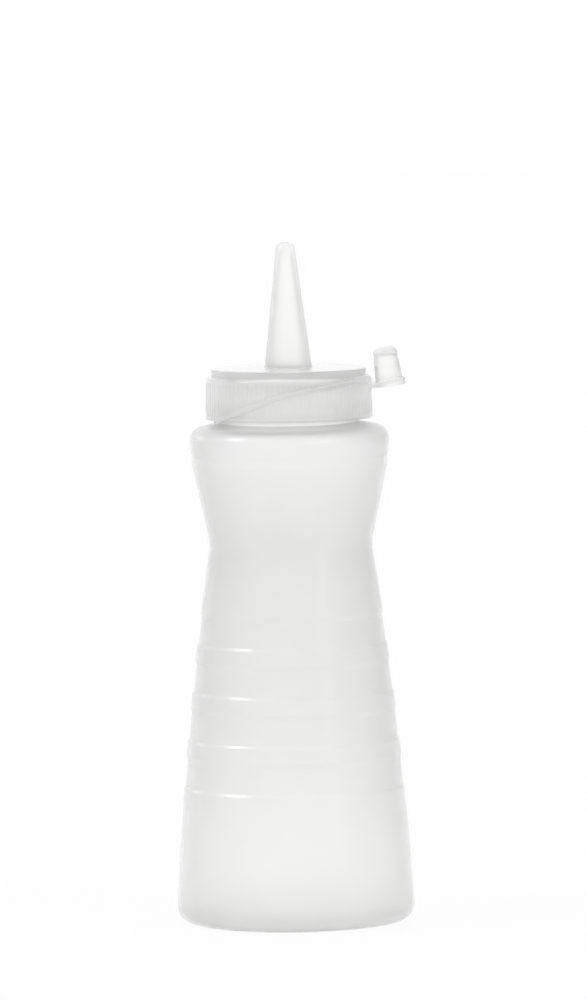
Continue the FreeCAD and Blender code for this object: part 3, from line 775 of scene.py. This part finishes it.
# %% Sweep the strap
def sweep_tree():
    """Carries a rounded rectangle along the piece's curve, upright all the way."""
    inputs = [("Thickness", "NodeSocketFloat"), ("Height", "NodeSocketFloat"), ("Edge", "NodeSocketFloat"),
              ("Finish", "NodeSocketMaterial")]
    tree, given, result = new_tree("strap_along_path", inputs)
    link = tree.links.new
    upright = tree.nodes.new("GeometryNodeSetCurveNormal")
    upright.mode = "Z_UP"
    link(given.outputs["Geometry"], upright.inputs["Curve"])
    section = tree.nodes.new("GeometryNodeCurvePrimitiveQuadrilateral")
    link(given.outputs["Thickness"], section.inputs["Width"])
    link(given.outputs["Height"], section.inputs["Height"])
    edge = tree.nodes.new("GeometryNodeFilletCurve")
    edge.mode = "POLY"
    edge.inputs["Count"].default_value = STRAP_EDGE_STEPS
    link(section.outputs[0], edge.inputs["Curve"])
    link(given.outputs["Edge"], edge.inputs["Radius"])
    band = tree.nodes.new("GeometryNodeCurveToMesh")
    link(upright.outputs[0], band.inputs["Curve"])
    link(edge.outputs[0], band.inputs["Profile Curve"])
    realized = tree.nodes.new("GeometryNodeRealizeInstances")
    link(band.outputs[0], realized.inputs[0])
    finish = tree.nodes.new("GeometryNodeSetMaterial")
    link(realized.outputs[0], finish.inputs["Geometry"])
    link(given.outputs["Finish"], finish.inputs["Material"])
    link(finish.outputs[0], result.inputs[0])
    return tree


def strap_curve():
    """The loop's middle line as a closed curve, with its height taken from the side view."""
    half = strap_plan()
    loop = [(x, -y) for x, y in half[1:]] + half[-2::-1]
    path = strap_side()
    curve = bpy.data.curves.new("strap_path", "CURVE")
    curve.dimensions = "3D"
    line = curve.splines.new("POLY")
    line.points.add(len(loop) - 1)
    for point, (x, y) in zip(line.points, loop):
        point.co = (x * MM, y * MM, (level_on(path, x) + STRAP_HEIGHT / 2) * MM, 1)
    line.use_cyclic_u = True
    return curve


path = new_piece("strap_path", strap_curve())
swept = outcome(path, sweep_tree(), Thickness=STRAP_THICK * MM, Height=STRAP_HEIGHT * MM,
                Edge=STRAP_EDGE * MM, Finish=cover_finish)
bpy.data.objects.remove(path)
band = new_piece("strap_band", swept)
face_outwards(band)


# %% Turn the cover and join it to the strap
def cover_section():
    """The closed section in two runs: from the flange over the dome, and from the crown down the bore."""
    top = COVER_LENGTH
    middle = (COVER_BORE + COVER_FLANGE_RADIUS) / 2
    outside = [(middle, 0, 0), (COVER_FLANGE_RADIUS, 0, FINE_ROUND),
               (COVER_FLANGE_RADIUS, COVER_FLANGE, COVER_FLANGE_ROUND),
               (COVER_BASE, COVER_FLANGE, COVER_ROOT_ROUND), (COVER_TOP, top - COVER_TOP_ROUND, 0)]
    dome = arc_between(outside[-1][:2], (COVER_TOP - COVER_TOP_ROUND, top), COVER_TOP_ROUND, 1)
    inside = [(0, top, 0), (0, top - COVER_CROWN, 0),
              (COVER_BORE_TOP, top - COVER_CROWN, COVER_BORE_ROUND),
              (COVER_BORE, 0, FINE_ROUND), (middle, 0, 0)]
    return outside + [(*point, 0) for point in dome], inside


outside, inside = cover_section()
cover_points = divide(soften(outside + [inside[0]]), COVER_RUN)
cover_points += divide(soften(inside[1:]), COVER_RUN)[:-1]
cover_slice = slice_mesh("cover_slice", cover_points, COVER_SLICES, [0, 1], closed=True)
cover = new_piece("tip_cover_moulding", cover_slice)
run_tree(cover, SLICES, Slices=COVER_SLICES, Weld=WELD, Finish=cover_finish)
lean = Matrix.Translation(Vector((cover_reach, 0, cover_level)) * MM) @ Matrix.Rotation(-COVER_TILT, 4, "Y")
cover.data.transform(lean)
face_outwards(cover)


def join_solids(piece, other):
    """Add another solid to a piece as one closed skin and remove the other."""
    union = piece.modifiers.new("join", "BOOLEAN")
    union.operation = "UNION"
    union.solver = "EXACT"
    union.object = other
    graph = bpy.context.evaluated_depsgraph_get()
    graph.update()
    made = bpy.data.meshes.new_from_object(piece.evaluated_get(graph))
    piece.modifiers.clear()
    piece.data = made
    bpy.data.objects.remove(other)


join_solids(cover, band)
cover.data.shade_smooth()
cover.data.set_sharp_from_angle(angle=SHARP_ANGLE)
face_outwards(cover)

# %% [markdown]
# ## Floor, lamps and camera
# White on white only works when the plastic is seen against light, so the floor glows and the surroundings
# are white. The light from left and right is weaker, which shades the bottle's sides, and far lamps as wide
# as softboxes put the glints on its ledges and shoulder. The camera stands far off with a long lens and
# looks down a little.

# %% Floor
FLOOR_TONE = 0.99
FLOOR_GLOW = 0.9
FLOOR_HALF = 6.0
FLOOR_DROP = 0.05


def looked_at(tree, path):
    """1 where the eye, gloss or glass looks, and 0 for light on its way to a dull surface."""
    mirrored = calculate(tree, "MAXIMUM", path.outputs["Is Camera Ray"], path.outputs["Is Glossy Ray"])
    return calculate(tree, "MAXIMUM", mirrored, path.outputs["Is Transmission Ray"])


def white_floor():
    """A white floor: what is seen of it is mostly its own glow, and the rest is lit and takes the shadow."""
    finish = bpy.data.materials.new("white_sweep")
    finish.use_nodes = True
    tree = finish.node_tree
    tree.nodes.clear()
    path = tree.nodes.new("ShaderNodeLightPath")
    lit = shader_node(tree, "ShaderNodeBsdfDiffuse", Color=(FLOOR_TONE, FLOOR_TONE, FLOOR_TONE, 1))
    glow = shader_node(tree, "ShaderNodeEmission", Color=(1, 1, 1, 1), Strength=1.0)
    share = calculate(tree, "MULTIPLY", looked_at(tree, path), FLOOR_GLOW)
    mix = shader_node(tree, "ShaderNodeMixShader", Fac=share)
    tree.links.new(lit.outputs[0], mix.inputs[1])
    tree.links.new(glow.outputs[0], mix.inputs[2])
    out = tree.nodes.new("ShaderNodeOutputMaterial")
    tree.links.new(mix.outputs[0], out.inputs["Surface"])
    level = bottle_low.z - FLOOR_DROP * MM
    corners = [(x * FLOOR_HALF, y * FLOOR_HALF, level) for x, y in ((-1, -1), (1, -1), (1, 1), (-1, 1))]
    mesh = bpy.data.meshes.new("floor")
    mesh.from_pydata(corners, [], [(0, 1, 2, 3)])
    mesh.materials.append(finish)
    floor = new_piece("floor", mesh)
    print(f"floor {2 * FLOOR_HALF:.0f} m across at level {level / MM:.2f} mm")


white_floor()

# %% Studio
WORLD_LIGHT = 0.81
SIDE_LIGHT = 0.65


def white_world():
    """White all round for the eye; the light that falls in from left and right is weaker, as in a studio."""
    world = bpy.data.worlds.new("white_studio")
    bpy.context.scene.world = world
    world.use_nodes = True
    tree = world.node_tree
    tree.nodes.clear()
    path = tree.nodes.new("ShaderNodeLightPath")
    direction = tree.nodes.new("ShaderNodeTexCoord").outputs["Generated"]
    across = shader_node(tree, "ShaderNodeSeparateXYZ", Vector=direction).outputs["X"]
    sides = spread(tree, calculate(tree, "MULTIPLY", across, across), 1.0, SIDE_LIGHT)
    light = calculate(tree, "MULTIPLY", spread(tree, looked_at(tree, path), WORLD_LIGHT, 1.0), sides)
    light = calculate(tree, "MAXIMUM", light, path.outputs["Is Camera Ray"])
    sky = shader_node(tree, "ShaderNodeBackground", Color=(1, 1, 1, 1), Strength=light)
    out = tree.nodes.new("ShaderNodeOutputWorld")
    tree.links.new(sky.outputs[0], out.inputs["Surface"])


def soft_sun(name, azimuth, elevation, strength, width):
    """A far lamp as wide as a softbox looks; azimuth 0 is in front and positive to the right, in degrees."""
    light = bpy.data.lights.new(name, "SUN")
    light.energy = strength
    light.angle = math.radians(width)
    lamp = bpy.data.objects.new(name, light)
    bpy.context.scene.collection.objects.link(lamp)
    turn, rise = math.radians(azimuth), math.radians(elevation)
    back = Vector((math.sin(turn) * math.cos(rise), -math.cos(turn) * math.cos(rise), math.sin(rise)))
    lamp.rotation_mode = "QUATERNION"
    lamp.rotation_quaternion = (-back).to_track_quat("-Z", "Y")
    lamp.visible_transmission = False


white_world()
soft_sun("key", azimuth=-76, elevation=40, strength=0.6, width=22)
soft_sun("side", azimuth=-130, elevation=15, strength=0.09, width=10)
soft_sun("fill", azimuth=44, elevation=30, strength=0.3, width=30)
soft_sun("strip", azimuth=42, elevation=8, strength=0.03, width=12)

# %% Camera
CAMERA_LENS = 324
CAMERA_DISTANCE = 2.72
CAMERA_PITCH = math.radians(4.25)
CAMERA_ROLL = math.radians(-0.835)
CAMERA_AIM = Vector((0.96, 0, 127.7)) * MM
CAMERA_SIGHT = 50
lens = bpy.data.cameras.new("camera")
lens.lens = CAMERA_LENS
lens.clip_end = CAMERA_SIGHT
camera = bpy.data.objects.new("camera", lens)
bpy.context.scene.collection.objects.link(camera)
bpy.context.scene.camera = camera
back = Vector((0, -math.cos(CAMERA_PITCH), math.sin(CAMERA_PITCH)))
turn = (-back).to_track_quat("-Z", "Y").to_matrix().to_4x4() @ Matrix.Rotation(CAMERA_ROLL, 4, "Z")
camera.matrix_world = Matrix.Translation(CAMERA_AIM + back * CAMERA_DISTANCE) @ turn
print(f"camera {CAMERA_DISTANCE} m away, lens {CAMERA_LENS} mm")

# %% Hand over
for piece, node, slot_name in ((bottle, "bottle", "bottle_shell"), (cap, "nozzle_cap", "cap_moulding"),
                               (cover, "tip_cover", "cover_moulding")):
    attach(piece, "root")
    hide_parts(node)
scene = bpy.context.scene
scene.view_settings.view_transform = "Standard"
